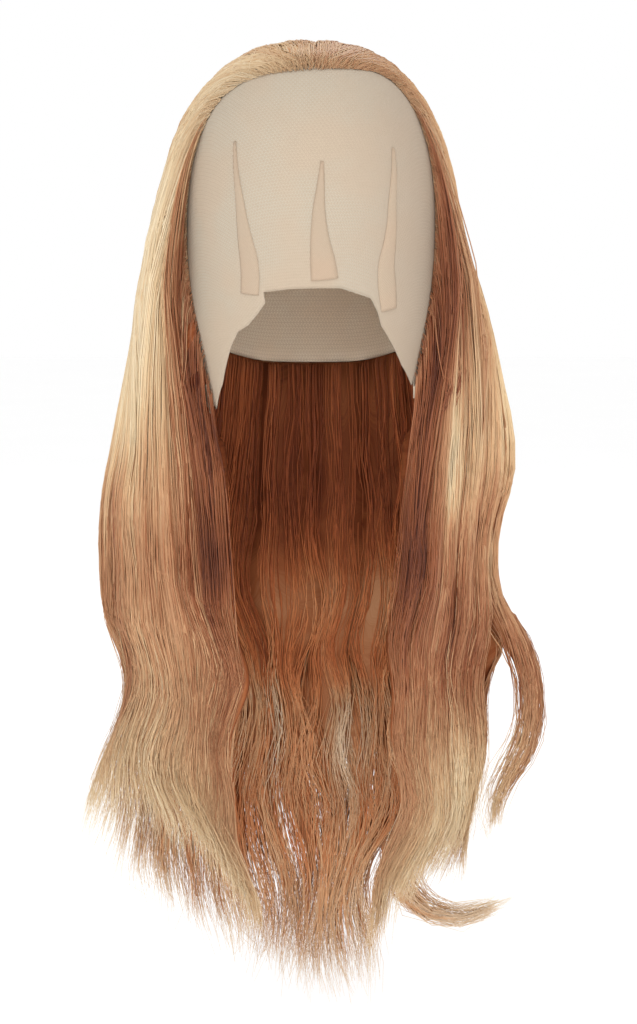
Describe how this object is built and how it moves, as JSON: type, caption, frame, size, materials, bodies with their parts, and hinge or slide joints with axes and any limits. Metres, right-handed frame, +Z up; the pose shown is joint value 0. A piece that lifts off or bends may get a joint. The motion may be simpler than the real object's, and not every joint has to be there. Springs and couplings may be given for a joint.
{
  "type": "lace front wig",
  "caption": "Long waved lace front wig, swept back from a sheer front over the forehead, with hair falling down the sides and back.",
  "frame": {"origin": "inside top of the cap, where the wig sits on the head", "axes": "+Z up, the lace front faces -Y, +X is to the right of someone looking at the lace front"},
  "size_m": [0.2834, 0.2141, 0.6191],
  "materials": {
    "cap": "stretch net",
    "lace_front": "sheer net",
    "tuck_left": "folded net",
    "tuck_centre": "folded net",
    "tuck_right": "folded net",
    "hair_crown_back": "hair",
    "hair_side_left": "hair",
    "hair_side_right": "hair",
    "hair_front_left": "hair",
    "hair_front_right": "hair",
    "hair_nape": "hair"
  },
  "bodies": {
    "root": {"cap": "cap", "lace_front": "lace_front", "tuck_left": "tuck_left", "tuck_centre": "tuck_centre", "tuck_right": "tuck_right", "hair_crown_back": "hair_crown_back", "hair_side_left": "hair_side_left", "hair_side_right": "hair_side_right", "hair_front_left": "hair_front_left", "hair_front_right": "hair_front_right", "hair_nape": "hair_nape"}
  },
  "joints": []
}
